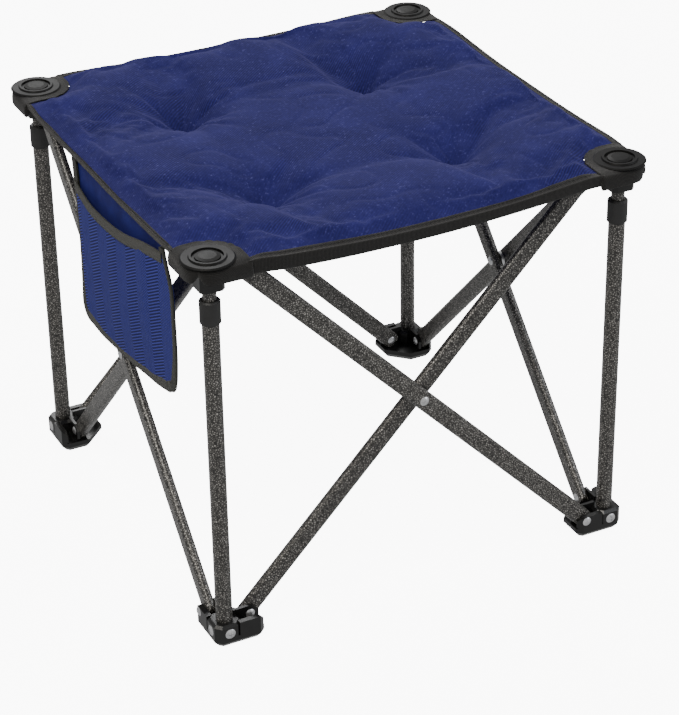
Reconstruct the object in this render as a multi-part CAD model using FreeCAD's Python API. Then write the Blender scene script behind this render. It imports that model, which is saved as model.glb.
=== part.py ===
import FreeCAD, Part
import math
import os

# Camp stool on four telescoping posts. Millimetres, +Z up, origin on the ground under the middle.
# Each side has two crossing flat-oval braces: the inner one rises from the side's left foot to its
# right bracket, the outer one falls from the left bracket to the right foot.
# Every piece is drawn once, at the front left corner or on the front side, and turned a quarter
# turn for each of the others.

post_spacing = 420.0        # between neighbouring post axes, stool open
folded_spacing = 120.0      # the same, stool folded
pivot_inset = 28.0          # from a post axis to the brace pivots beside it
foot_pivot_height = 20.0
bracket_pivot_height = 396.0

lower_tube_radius = 8.0
tube_wall = 1.2
tube_gap = 0.45             # between the lower tube's bore and the upper tube
lower_tube_bottom = 4.0
collar_drop = 11.7          # upper tube showing between the bracket and the collar
collar_height = 24.0
collar_wall = 1.75
collar_lip = 4.5            # part of the collar that stands above the lower tube
slide_clearance = 0.1
tube_overlap = 30.0         # upper tube still inside the lower tube when folded

brace_width = 18.5
brace_thickness = 9.5
brace_edge_radius = 4.2
brace_wall = 1.2
brace_end = 6.0             # from a pivot to the end of the brace
end_cap_thickness = 4.0
brace_outboard = 3.1        # middle of the outer brace, outside the line of post axes

lug_thickness = 3.0
lug_gap = 0.25              # between a lug and the brace beside it
pin_radius = 3.0
pin_clearance = 0.08
rivet_head_radius = 4.7
rivet_head_height = 1.9
screw_head_radius = 5.2
screw_radius = 1.9
screw_slot_width = 0.9
screw_slot_length = 5.2
screw_slot_depth = 1.1
washer_radius = 8.0
washer_gap = 0.3

foot_wall = 6.0             # round the lower tube
foot_past_pivot = 9.5       # from the brace pivots to the foot's inboard ends
foot_base_height = 11.0
foot_socket_height = 25.0
foot_taper = 5.0            # sole set in from the base all round
foot_taper_height = 6.0
foot_corner = 6.0
foot_end_step = 1.0         # ears end short of the base
foot_rim_chamfer = 2.5
foot_lug_rise = 9.0         # ear above the brace pivots
foot_screw_drop = 9.5       # post screws below the top of the socket
foot_brace_room = 0.4       # slanted inboard side past the inner brace
foot_cheek_gap = 0.6        # between the outer brace and the cheek outside it
lug_root = 4.0              # ear sunk into its block

bracket_wall = 5.65         # round the upper tube
bracket_height = 26.0
bracket_past_pivot = 7.5
bracket_lug_drop = 9.5      # ear below the brace pivots
bracket_corner = 4.0
bracket_floor = 2.2         # solid top of the bracket above the upper tube

seat_overhang = 22.0        # seat edge outside the line of post axes
seat_thickness = 11.5       # of the strips along the edges
panel_thickness = 24.0      # of the middle, which sags
brace_to_patch = 0.4
patch_past_pivot = 13.0     # from the brace pivots to the inner edge of a corner patch
patch_thickness = 2.4
patch_corner_radius = 22.0
hem_thickness = 2.5
hem_height = 18.0
seat_crown = 0.4            # seat above the plates of the corner caps
cloth_gap = 0.3             # between soft pieces of different bodies

cap_radius = 25.0
cap_thickness = 1.6
cap_ring_radius = 15.5
cap_ring_width = 2.2
cap_ring_height = 1.5
cap_dome_radius = 11.5
cap_dome_height = 2.0
cap_stem_radius = 7.0
cap_groove = 0.4
cap_edge = 0.5              # upright rim of the plate under its bevel
cap_bevel = 1.5
cap_dome_step = 0.8

pocket_front_y = -168.0     # front end of the pocket on the left side
pocket_back_y = 66.0
pocket_drop_front = 146.0   # from the hem's lower edge to the pocket's bottom corners
pocket_drop_back = 169.0
pocket_depth = 12.0
pocket_cloth = 1.2
pocket_tape = 3.0
pocket_mouth_dip = 24.0     # mouth's lowest point under the hem
pocket_mouth_front = 3.0
pocket_mouth_back = 18.0
pocket_in_hem = 0.2         # net's outer face inside the hem's

corners = ["front_left", "front_right", "back_right", "back_left"]
sides = ["front", "right", "back", "left"]

half = post_spacing / 2
upper_tube_radius = lower_tube_radius - tube_wall - tube_gap
collar_radius = lower_tube_radius + collar_wall
foot_half = lower_tube_radius + foot_wall
foot_reach = pivot_inset + foot_past_pivot
bracket_half = upper_tube_radius + bracket_wall
bracket_reach = pivot_inset + bracket_past_pivot
patch_inset = pivot_inset + patch_past_pivot
pivot_span = post_spacing - 2 * pivot_inset
pivot_rise = bracket_pivot_height - foot_pivot_height
brace_length = math.hypot(pivot_span, pivot_rise)
brace_angle = math.degrees(math.atan2(pivot_rise, pivot_span))
folded_angle = math.degrees(math.acos((folded_spacing - 2 * pivot_inset) / brace_length))
fold_rise = brace_length * math.sin(math.radians(folded_angle)) - pivot_rise
crossing_height = (foot_pivot_height + bracket_pivot_height) / 2

lug_outer = brace_thickness / 2 - brace_outboard + lug_gap
lug_inner = lug_outer + lug_thickness
brace_inboard = lug_inner + lug_gap + brace_thickness / 2
outer_faces = [-brace_outboard - brace_thickness / 2, -brace_outboard + brace_thickness / 2]
inner_faces = [brace_inboard - brace_thickness / 2, brace_inboard + brace_thickness / 2]

# highest point of a brace end above its pivot, with the end's corners rounded by brace_end
end_rise = (brace_width / 2 - brace_end) * math.cos(math.radians(brace_angle)) + brace_end
patch_bottom = bracket_pivot_height + end_rise + brace_to_patch
bracket_top = patch_bottom
patch_top = patch_bottom + patch_thickness
seat_top = patch_top + cap_thickness + seat_crown
seat_bottom = seat_top - seat_thickness
hem_bottom = seat_top - hem_height
seat_half = half + seat_overhang
panel_half = half - patch_inset
upper_tube_top = bracket_top - bracket_floor
bracket_bottom = bracket_top - bracket_height
collar_top = bracket_bottom - collar_drop
collar_bottom = collar_top - collar_height
lower_tube_top = collar_top - collar_lip
upper_tube_bottom = lower_tube_top - fold_rise - tube_overlap


def vector(x, y, z=0.0):
    return FreeCAD.Vector(x, y, z)


def box(low, high):
    size = [high[i] - low[i] for i in range(3)]
    return Part.makeBox(size[0], size[1], size[2], vector(low[0], low[1], low[2]))


def outline(points, height):
    # closed wire through plan points at one height
    corners_in_order = [vector(x, y, height) for x, y in points]
    return Part.makePolygon(corners_in_order + corners_in_order[:1])


def slab(points, low, high):
    return Part.Face(outline(points, low)).extrude(vector(0, 0, high - low))


def edges_along(shape, direction):
    # straight edges parallel to a direction
    found = []
    for edge in shape.Edges:
        if isinstance(edge.Curve, Part.Line) or isinstance(edge.Curve, Part.LineSegment):
            run = edge.Vertexes[1].Point - edge.Vertexes[0].Point
            if run.cross(direction).Length < 1e-6 * run.Length:
                found.append(edge)
    return found


def revolve(profile):
    # profile of (radius, height) pairs turned about Z
    points = [vector(r, 0, z) for r, z in profile]
    face = Part.Face(Part.makePolygon(points + points[:1]))
    return face.revolve(vector(0, 0, 0), vector(0, 0, 1), 360)


def quarter_turns(shape, count):
    turned = shape.copy()
    turned.rotate(vector(0, 0, 0), vector(0, 0, 1), 90 * count)
    return turned


def at_corner(shape, index):
    # from the corner's own frame, with the post axis at the origin and +X, +Y inboard
    moved = shape.copy()
    moved.translate(vector(-half, -half))
    return quarter_turns(moved, index)


def swap_sides(shape):
    # mirror a corner piece so that what lay along +X lies along +Y
    return shape.mirror(vector(0, 0, 0), vector(1, -1, 0))


def chamfered_square(reach, chamfer):
    low = reach - chamfer
    return [(-low, -reach), (low, -reach), (reach, -low), (reach, low),
            (low, reach), (-low, reach), (-reach, low), (-reach, -low)]


def rivet(start, end):
    # headed pin along Y from start to end, heads outside that grip
    length = end - start
    height = rivet_head_height
    ball_radius = (rivet_head_radius ** 2 + height ** 2) / (2 * height)
    pin = Part.makeCylinder(pin_radius, length, vector(0, start, 0), vector(0, 1, 0))
    for place, way in ((start, -1), (end, 1)):
        ball = Part.makeSphere(ball_radius, vector(0, place + way * (height - ball_radius), 0))
        block_low = min(place, place + way * height)
        block = box((-rivet_head_radius, block_low, -rivet_head_radius),
                    (rivet_head_radius, block_low + height, rivet_head_radius))
        pin = pin.fuse(ball.common(block))
    return pin.removeSplitter()


def screw(face, depth):
    # pan head screw along Y, its head outside the face and its shank going inboard
    height = rivet_head_height
    ball_radius = (screw_head_radius ** 2 + height ** 2) / (2 * height)
    ball = Part.makeSphere(ball_radius, vector(0, face - height + ball_radius, 0))
    block = box((-screw_head_radius, face - height, -screw_head_radius),
                (screw_head_radius, face, screw_head_radius))
    shank = Part.makeCylinder(screw_radius, depth, vector(0, face, 0), vector(0, 1, 0))
    head = ball.common(block)
    long, wide, floor = screw_slot_length / 2, screw_slot_width / 2, face - height + screw_slot_depth
    for across, along in ((long, wide), (wide, long)):
        head = head.cut(box((-across, face - height, -along), (across, floor, along)))
    return head.fuse(shank).removeSplitter()


def brace():
    # flat-oval tube along X with closed, rounded ends and three pin holes along Y
    length = brace_length + 2 * brace_end
    w, t = brace_width / 2, brace_thickness / 2
    body = box((-length / 2, -t, -w), (length / 2, t, w))
    body = body.makeFillet(brace_edge_radius, edges_along(body, vector(1, 0, 0)))
    ends = box((-length / 2, -2 * t, -w), (length / 2, 2 * t, w))
    ends = ends.makeFillet(brace_end, edges_along(ends, vector(0, 1, 0)))
    body = body.common(ends)
    inside = length / 2 - end_cap_thickness
    cavity = box((-inside, brace_wall - t, brace_wall - w), (inside, t - brace_wall, w - brace_wall))
    cavity = cavity.makeFillet(brace_edge_radius - brace_wall, edges_along(cavity, vector(1, 0, 0)))
    body = body.cut(cavity)
    for place in (-brace_length / 2, 0, brace_length / 2):
        hole = Part.makeCylinder(pin_radius + pin_clearance, 4 * t, vector(place, -2 * t, 0), vector(0, 1, 0))
        body = body.cut(hole)
    return body


def side_braces():
    # the front side's two braces in place
    inner = brace()
    inner.rotate(vector(0, 0, 0), vector(0, 1, 0), -brace_angle)
    inner.translate(vector(0, brace_inboard - half, crossing_height))
    outer = brace()
    outer.rotate(vector(0, 0, 0), vector(0, 1, 0), brace_angle)
    outer.translate(vector(0, -brace_outboard - half, crossing_height))
    return inner, outer


def cross_rivet():
    # pin through both braces with a washer between them
    pin = rivet(outer_faces[0] - lug_gap, inner_faces[1])
    washer_start = outer_faces[1] + washer_gap
    thickness = inner_faces[0] - washer_start
    washer = Part.makeCylinder(washer_radius, thickness, vector(0, washer_start, 0), vector(0, 1, 0))
    bore = Part.makeCylinder(pin_radius + pin_clearance, thickness, vector(0, washer_start, 0), vector(0, 1, 0))
    group = Part.makeCompound([pin, washer.cut(bore)])
    group.translate(vector(0, -half, crossing_height))
    return group


def plate(reach, root, low, high, start, thickness):
    # upright plate along +X with a chamfered free end
    cut = (high - low) * 0.3
    points = [(root, low), (reach - cut, low), (reach, low + cut),
              (reach, high - cut), (reach - cut, high), (root, high)]
    wire = Part.makePolygon([vector(x, start, z) for x, z in points + points[:1]])
    return Part.Face(wire).extrude(vector(0, thickness, 0))


def pin_bore(start, thickness, pivot_height):
    return Part.makeCylinder(pin_radius, thickness, vector(pivot_inset, start, pivot_height), vector(0, 1, 0))


def lug(reach, root, low, high, pivot_height):
    # ear between the braces with the pin's hole
    ear = plate(reach, root, low, high, lug_outer, lug_thickness)
    return ear.cut(pin_bore(lug_outer, lug_thickness, pivot_height))


def foot():
    # faceted base with a smaller sole, a socket for the post, and an ear and an outer cheek along each side
    reach, corner, low = foot_reach, foot_corner, -foot_half
    inner = inner_faces[1] + foot_brace_room
    plan = [(low + corner, low), (reach - corner, low), (reach, low + corner), (reach, inner),
            (inner, reach), (low + corner, reach), (low, reach - corner), (low, low + corner)]
    full = outline(plan, foot_taper_height)
    sole = full.makeOffset2D(-foot_taper, 2)
    sole.translate(vector(0, 0, -foot_taper_height))
    body = Part.makeLoft([sole, full], True, True)
    body = body.fuse(slab(plan, foot_taper_height, foot_base_height))
    socket = slab(chamfered_square(foot_half, foot_corner), foot_taper_height, foot_socket_height)
    rim = [edge for edge in socket.Edges if edge.BoundBox.ZMin > foot_socket_height - 1e-6]
    body = body.fuse(socket.makeChamfer(foot_rim_chamfer, rim))
    ear = lug(foot_reach - foot_end_step, foot_half - lug_root, foot_base_height - lug_root,
              foot_pivot_height + foot_lug_rise, foot_pivot_height)
    body = body.fuse(ear).fuse(swap_sides(ear))
    thickness = outer_faces[0] - foot_cheek_gap + foot_half
    cheek = plate(foot_reach - foot_end_step, foot_half - lug_root, foot_base_height - lug_root,
                  foot_socket_height, -foot_half, thickness)
    cheek = cheek.common(slab(plan, 0.0, foot_socket_height))
    bored = cheek.cut(pin_bore(-foot_half, thickness, foot_pivot_height))
    body = body.fuse(cheek).fuse(swap_sides(bored))
    bore = Part.makeCylinder(lower_tube_radius, foot_socket_height, vector(0, 0, lower_tube_bottom))
    body = body.cut(bore)
    for hole in screw_shanks():
        body = body.cut(hole)
    return body.removeSplitter()


def screw_height():
    return foot_socket_height - foot_screw_drop


def screw_depth():
    return foot_half - lower_tube_radius + tube_wall


def screw_shanks():
    hole = Part.makeCylinder(screw_radius, screw_depth(), vector(0, -foot_half, screw_height()), vector(0, 1, 0))
    return [hole, swap_sides(hole)]


def foot_fasteners():
    # two brace rivets and two screws that hold the post
    inner_pin = rivet(lug_outer, inner_faces[1] + lug_gap)
    inner_pin.translate(vector(pivot_inset, 0, foot_pivot_height))
    outer_pin = rivet(-foot_half, lug_inner)
    outer_pin.translate(vector(pivot_inset, 0, foot_pivot_height))
    post_screw = screw(-foot_half, screw_depth())
    post_screw.translate(vector(0, 0, screw_height()))
    return Part.makeCompound([inner_pin, swap_sides(outer_pin), post_screw, swap_sides(post_screw)])


def lower_post():
    tube = Part.makeCylinder(lower_tube_radius, lower_tube_top - lower_tube_bottom, vector(0, 0, lower_tube_bottom))
    inside = Part.makeCylinder(lower_tube_radius - tube_wall, lower_tube_top, vector(0, 0, lower_tube_bottom))
    tube = tube.cut(inside)
    for hole in screw_shanks():
        tube = tube.cut(hole)
    return tube


def upper_post():
    height = upper_tube_top - upper_tube_bottom
    tube = Part.makeCylinder(upper_tube_radius, height, vector(0, 0, upper_tube_bottom))
    inside = Part.makeCylinder(upper_tube_radius - tube_wall, height, vector(0, 0, upper_tube_bottom))
    return tube.cut(inside)


def collar():
    # sleeve over the lower tube with a lip that guides the upper tube
    bevel = 1.4
    guide = upper_tube_radius + slide_clearance
    outer, grip = collar_radius, lower_tube_radius
    return revolve([(grip, collar_bottom), (outer - bevel, collar_bottom), (outer, collar_bottom + bevel),
                    (outer, collar_top - bevel), (outer - bevel, collar_top), (guide, collar_top),
                    (guide, lower_tube_top), (grip, lower_tube_top)])


def bracket():
    # block on top of the upper tube with an ear along each side
    block = slab(chamfered_square(bracket_half, bracket_corner), bracket_bottom, bracket_top)
    low = bracket_pivot_height - bracket_lug_drop
    ear = lug(bracket_reach, bracket_half - lug_root, low, bracket_top, bracket_pivot_height)
    block = block.fuse(ear).fuse(swap_sides(ear))
    bore = Part.makeCylinder(upper_tube_radius, upper_tube_top - bracket_bottom, vector(0, 0, bracket_bottom))
    return block.cut(bore).removeSplitter()


def bracket_rivets():
    outer_pin = rivet(outer_faces[0] - lug_gap, lug_inner)
    outer_pin.translate(vector(pivot_inset, 0, bracket_pivot_height))
    inner_pin = rivet(lug_outer, inner_faces[1] + lug_gap)
    inner_pin.translate(vector(pivot_inset, 0, bracket_pivot_height))
    return Part.makeCompound([outer_pin, swap_sides(inner_pin)])


def patch_block(offset, low, high):
    # rounded corner of the seat, from its outer edges set in by offset to the patch's inner edges
    edge = offset - seat_overhang
    radius = patch_corner_radius - offset
    block = box((edge, edge, low), (patch_inset, patch_inset, high))
    upright = [e for e in edges_along(block, vector(0, 0, 1))
               if e.Vertexes[0].X < edge + 1e-6 and e.Vertexes[0].Y < edge + 1e-6]
    return block.makeFillet(radius, upright)


def corner_patch():
    # flat reinforcing patch with a skirt down the seat's outer edges
    shell = patch_block(-hem_thickness, hem_bottom, patch_top)
    shell = shell.cut(patch_block(0.0, hem_bottom - 1.0, patch_bottom))
    hole = Part.makeCylinder(cap_stem_radius, 2 * patch_thickness, vector(0, 0, patch_bottom - patch_thickness))
    return shell.cut(hole)


def corner_cap():
    # moulded disc with a raised ring and a low dome, on a stem down to the bracket
    plate = patch_top + cap_thickness
    ring_low = cap_ring_radius - cap_ring_width / 2
    ring_high = cap_ring_radius + cap_ring_width / 2
    profile = [(0, bracket_top), (cap_stem_radius, bracket_top), (cap_stem_radius, patch_top),
               (cap_radius, patch_top), (cap_radius, patch_top + cap_edge), (cap_radius - cap_bevel, plate),
               (ring_high + cap_dome_step, plate), (ring_high, plate + cap_ring_height),
               (ring_low, plate + cap_ring_height), (ring_low - cap_groove, plate - cap_groove),
               (cap_dome_radius + cap_groove, plate - cap_groove), (cap_dome_radius, plate + cap_dome_step),
               (cap_dome_radius * 0.7, plate + cap_dome_height * 0.85), (0, plate + cap_dome_height)]
    return revolve(profile)


def seat_panel():
    # front quarter of the seat's middle, tip at the centre
    g = cloth_gap / 2
    diagonal = g * math.sqrt(2)
    points = [(-panel_half + g + diagonal, -panel_half + g), (panel_half - g - diagonal, -panel_half + g),
              (0, -diagonal)]
    return slab(points, seat_top - panel_thickness, seat_top)


def seat_edge():
    # padded strip of the seat between two corner patches, with its bound hem outside
    g = cloth_gap / 2
    reach = panel_half - cloth_gap
    strip = box((-reach, -seat_half, seat_bottom), (reach, -panel_half - g, seat_top))
    hem = box((-reach, -seat_half - hem_thickness, hem_bottom), (reach, -seat_half, seat_top))
    return strip.fuse(hem).removeSplitter()


def pocket_plate(points, x_low, thickness):
    wire = Part.makePolygon([vector(x_low, y, z) for y, z in points + points[:1]])
    return Part.Face(wire).extrude(vector(thickness, 0, 0))


pocket_outside = -seat_half - hem_thickness + pocket_in_hem
pocket_inside = pocket_outside + pocket_depth
pocket_low_front = hem_bottom - pocket_drop_front
pocket_low_back = hem_bottom - pocket_drop_back
pocket_mouth = [(pocket_back_y, hem_bottom - pocket_mouth_back),
                ((pocket_front_y + pocket_back_y) / 2, hem_bottom - pocket_mouth_dip),
                (pocket_front_y, hem_bottom - pocket_mouth_front)]


def pocket_back():
    # solid cloth behind, hung from the seat's edge
    points = [(pocket_front_y, seat_bottom - cloth_gap), (pocket_front_y, pocket_low_front),
              (pocket_back_y, pocket_low_back), (pocket_back_y, seat_bottom - cloth_gap)]
    return pocket_plate(points, pocket_inside - pocket_cloth, pocket_cloth)


def pocket_front():
    # net in front, open along the dipped mouth
    points = [(pocket_front_y, pocket_low_front), (pocket_back_y, pocket_low_back)] + pocket_mouth
    return pocket_plate(points, pocket_outside, pocket_cloth)


def pocket_binding():
    # tape round the two upright edges and the bottom, between net and cloth
    low = pocket_outside + pocket_cloth
    points = [(pocket_front_y, pocket_low_front), (pocket_back_y, pocket_low_back),
              pocket_mouth[0], pocket_mouth[2]]
    block = pocket_plate(points, low, pocket_depth - 2 * pocket_cloth)
    y_front, y_back = pocket_front_y + pocket_tape, pocket_back_y - pocket_tape
    room = [(y_front, pocket_low_front + pocket_tape), (y_back, pocket_low_back + pocket_tape),
            (y_back, seat_top), (y_front, seat_top)]
    return block.cut(pocket_plate(room, low - 1.0, pocket_depth))


def check_solid(name, shape):
    if not shape.isValid() or not shape.Solids:
        raise ValueError(name + " isn't a valid solid")
    for solid in shape.Solids:
        if solid.Volume <= 0:
            raise ValueError(name + " is inside out")


def write(name, shape):
    check_solid(name, shape)
    if len(shape.Solids) == 1:
        shape = shape.Solids[0]
    shape.exportStep("parts/" + name + ".step")


def build():
    os.makedirs("parts", exist_ok=True)
    corner_pieces = {
        "foot": foot(), "foot_fasteners": foot_fasteners(), "lower_post": lower_post(),
        "collar": collar(), "upper_post": upper_post(), "bracket": bracket(),
        "bracket_rivets": bracket_rivets(), "corner_patch": corner_patch(), "corner_cap": corner_cap(),
    }
    inner, outer = side_braces()
    side_pieces = {
        "inner_brace": inner, "outer_brace": outer, "cross_rivet": cross_rivet(),
        "seat_panel": seat_panel(), "seat_edge": seat_edge(),
    }
    for index in range(4):
        for piece, shape in corner_pieces.items():
            write(piece + "_" + corners[index], at_corner(shape, index))
        for piece, shape in side_pieces.items():
            write(piece + "_" + sides[index], quarter_turns(shape, index))
    write("pocket_back", pocket_back())
    write("pocket_front", pocket_front())
    write("pocket_binding", pocket_binding())
    print("brace length", round(brace_length, 3), "angle", round(brace_angle, 4), "to", round(folded_angle, 4))
    print("rise when folded", round(fold_rise, 2), "seat top", round(seat_top, 3), "hem", round(hem_bottom, 3))
    print("lug", lug_outer, lug_inner, "inboard", brace_inboard, "patch", round(patch_bottom, 3))


build()
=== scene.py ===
import math
import bmesh
import bpy
import numpy as np
from mathutils import Matrix, Vector, noise
from mathutils.bvhtree import BVHTree


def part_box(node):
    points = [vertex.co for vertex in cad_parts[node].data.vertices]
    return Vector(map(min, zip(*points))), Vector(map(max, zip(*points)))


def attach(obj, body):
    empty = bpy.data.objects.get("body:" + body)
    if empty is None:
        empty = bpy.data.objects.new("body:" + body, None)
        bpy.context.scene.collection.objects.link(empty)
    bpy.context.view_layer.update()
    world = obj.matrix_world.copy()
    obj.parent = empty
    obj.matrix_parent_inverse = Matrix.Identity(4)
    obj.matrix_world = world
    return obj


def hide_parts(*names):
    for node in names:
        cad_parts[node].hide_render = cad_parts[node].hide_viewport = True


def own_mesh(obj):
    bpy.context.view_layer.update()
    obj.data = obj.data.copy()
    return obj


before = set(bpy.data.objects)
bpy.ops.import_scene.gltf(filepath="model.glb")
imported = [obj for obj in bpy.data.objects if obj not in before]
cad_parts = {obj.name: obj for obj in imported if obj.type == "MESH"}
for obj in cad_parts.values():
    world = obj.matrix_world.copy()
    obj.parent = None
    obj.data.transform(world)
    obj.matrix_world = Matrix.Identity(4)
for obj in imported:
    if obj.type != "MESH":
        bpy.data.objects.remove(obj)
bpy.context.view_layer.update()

# Camp stool: braced posts, a padded seat with a taped edge, corner patches with caps, a net side pocket.

mm = 0.001
sides = ["front", "right", "back", "left"]
corners = ["front_left", "front_right", "back_right", "back_left"]
stripBracket = {"front": "bracket_front_left", "right": "bracket_front_right",
                "back": "bracket_back_right", "left": "bracket_back_left"}

# measures taken from the frame
patchLow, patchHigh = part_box("corner_patch_front_left")
panelLow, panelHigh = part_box("seat_panel_front")
stripLow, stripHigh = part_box("seat_edge_front")
capLow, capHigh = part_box("corner_cap_front_left")
seatTop = panelHigh.z
hemLow = stripLow.z
hemOut = -stripLow.y
postAxis = -(capLow.x + capHigh.x) / 2
patchEdge = stripHigh.x


def turned(side):
    return Matrix.Rotation(math.radians(90) * side, 4, "Z")



def srgb(code):
    # sRGB hex to linear colour
    parts = [int(code[i:i + 2], 16) / 255 for i in (1, 3, 5)]
    return tuple(c / 12.92 if c <= 0.04045 else ((c + 0.055) / 1.055) ** 2.4 for c in parts) + (1.0,)


def addNode(tree, kind, settings=None, links=None):
    # one node with its colour stops, properties, socket values and incoming links
    node = tree.nodes.new(kind)
    for key, value in (settings or {}).items():
        if key == "stops":
            elements = node.color_ramp.elements
            while len(elements) < len(value):
                elements.new(0.5)
            for element, (place, colour) in zip(elements, value):
                element.position = place
                element.color = srgb(colour)
        elif isinstance(key, str) and hasattr(node, key):
            setattr(node, key, value)
        else:
            node.inputs[key].default_value = value
    for key, source in (links or {}).items():
        tree.links.new(source, node.inputs[key])
    return node


def newMaterial(name):
    material = bpy.data.materials.new(name)
    material.use_nodes = True
    tree = material.node_tree
    return material, tree, tree.nodes["Principled BSDF"]


def waveScale(period):
    # Wave texture scale for bands this far apart
    return 2 * math.pi / 20 / period


def setShader(shader, values):
    for key, value in values.items():
        shader.inputs[key].default_value = value


def finishMesh(name, bm, material, smooth=True):
    # bmesh to an object at the origin
    mesh = bpy.data.meshes.new(name)
    bm.to_mesh(mesh)
    bm.free()
    mesh.materials.append(material)
    if smooth:
        mesh.shade_smooth()
    obj = bpy.data.objects.new(name, mesh)
    bpy.context.scene.collection.objects.link(obj)
    return obj


def bakeModifiers(obj):
    depsgraph = bpy.context.evaluated_depsgraph_get()
    mesh = bpy.data.meshes.new_from_object(obj.evaluated_get(depsgraph))
    obj.modifiers.clear()
    old = obj.data
    obj.data = mesh
    bpy.data.meshes.remove(old)
    return obj


def smoothStep(low, high, value):
    t = min(1.0, max(0.0, (value - low) / (high - low)))
    return t * t * (3 - 2 * t)



def brushedPolyester():
    # woven polyester with a brushed face: soft pale edges where it turns away, fine diagonal twill
    material, tree, shader = newMaterial("brushedPolyesterBlue")
    setShader(shader, {"Roughness": 0.82, "Sheen Weight": 0.3, "Sheen Roughness": 0.35,
                       "Sheen Tint": srgb("#8a86c8"), "Specular IOR Level": 0.12})
    place = addNode(tree, "ShaderNodeTexCoord")
    turnedPlace = addNode(tree, "ShaderNodeMapping", {"Rotation": (0, 0, math.radians(52))},
                          {"Vector": place.outputs["Object"]})
    # twill ribs 2.3 mm apart, coarser than the real weave so that they show
    twill = addNode(tree, "ShaderNodeTexWave", {"Scale": waveScale(2.3 * mm), "Distortion": 0.7,
                                               "Detail": 1.0, "Detail Scale": 2.0},
                    {"Vector": turnedPlace.outputs["Vector"]})
    threads = addNode(tree, "ShaderNodeTexNoise", {"Scale": 900.0, "Detail": 2.0},
                      {"Vector": place.outputs["Object"]})
    mottle = addNode(tree, "ShaderNodeTexNoise", {"Scale": 22.0, "Detail": 5.0, "Roughness": 0.62},
                     {"Vector": place.outputs["Object"]})
    # pale lavender flecks scattered at random through the blue
    fleckNoise = addNode(tree, "ShaderNodeTexNoise", {"Scale": 330.0, "Detail": 3.0, "Roughness": 0.7},
                   {"Vector": place.outputs["Object"]})
    base = addNode(tree, "ShaderNodeValToRGB", {"stops": [(0.28, "#1b1b52"), (0.5, "#23235f"), (0.74, "#2f2f72")]},
                   {"Fac": mottle.outputs["Fac"]})
    paleFlecks = addNode(tree, "ShaderNodeValToRGB", {"stops": [(0.35, "#161646"), (0.6, "#25255f"), (0.76, "#6d6da8")]},
                   {"Fac": fleckNoise.outputs["Fac"]})
    # sockets of the colour form of Mix go by place: 0 is its factor, 6 and 7 the two colours
    mixed = addNode(tree, "ShaderNodeMix", {"data_type": "RGBA", 0: 0.45},
                    {6: base.outputs["Color"], 7: paleFlecks.outputs["Color"]})
    ribs = addNode(tree, "ShaderNodeMapRange", {"From Min": 0.1, "From Max": 0.8, "To Min": 0.55, "To Max": 1.2},
                   {"Value": twill.outputs["Fac"]})
    # the weave shows in some places and is rubbed flat in others
    rubbed = addNode(tree, "ShaderNodeTexNoise", {"Scale": 12.0, "Detail": 2.0},
                     {"Vector": place.outputs["Object"]})
    shown = addNode(tree, "ShaderNodeMapRange", {"From Min": 0.42, "From Max": 0.62, "To Min": 0.12, "To Max": 0.85},
                    {"Value": rubbed.outputs["Fac"]})
    final = addNode(tree, "ShaderNodeMix", {"data_type": "RGBA", "blend_type": "MULTIPLY"},
                    {0: shown.outputs["Result"], 6: mixed.outputs[2], 7: ribs.outputs["Result"]})
    tree.links.new(final.outputs[2], shader.inputs["Base Color"])
    fine = addNode(tree, "ShaderNodeBump", {"Strength": 0.35, "Distance": 0.0005},
                   {"Height": threads.outputs["Fac"]})
    weave = addNode(tree, "ShaderNodeBump", {"Strength": 0.22, "Distance": 0.0005},
                    {"Height": twill.outputs["Fac"], "Normal": fine.outputs["Normal"]})
    tree.links.new(weave.outputs["Normal"], shader.inputs["Normal"])
    return material


def polyesterWebbing(name, dark, light, ribSpacing):
    # flat woven tape: close ribs across it; the line of stitches near its edge is not drawn in this material
    material, tree, shader = newMaterial(name)
    setShader(shader, {"Roughness": 0.78, "Sheen Weight": 0.15, "Specular IOR Level": 0.25})
    place = addNode(tree, "ShaderNodeTexCoord")
    ribs = addNode(tree, "ShaderNodeTexWave", {"Scale": waveScale(ribSpacing), "Distortion": 0.8,
                                               "Detail": 1.0, "bands_direction": "X"},
                   {"Vector": place.outputs["UV"]})
    grain = addNode(tree, "ShaderNodeTexNoise", {"Scale": 420.0, "Detail": 3.0, "Roughness": 0.65},
                    {"Vector": place.outputs["Object"]})
    mixed = addNode(tree, "ShaderNodeMath", {"operation": "MULTIPLY"},
                    {0: ribs.outputs["Fac"], 1: grain.outputs["Fac"]})
    tone = addNode(tree, "ShaderNodeValToRGB", {"stops": [(0.05, dark), (0.62, light)]},
                   {"Fac": mixed.outputs["Value"]})
    tree.links.new(tone.outputs["Color"], shader.inputs["Base Color"])
    grainBump = addNode(tree, "ShaderNodeBump", {"Strength": 0.3, "Distance": 0.0004},
                        {"Height": grain.outputs["Fac"]})
    ribBump = addNode(tree, "ShaderNodeBump", {"Strength": 0.7, "Distance": 0.0005},
                      {"Height": ribs.outputs["Fac"], "Normal": grainBump.outputs["Normal"]})
    tree.links.new(ribBump.outputs["Normal"], shader.inputs["Normal"])
    return material


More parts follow.
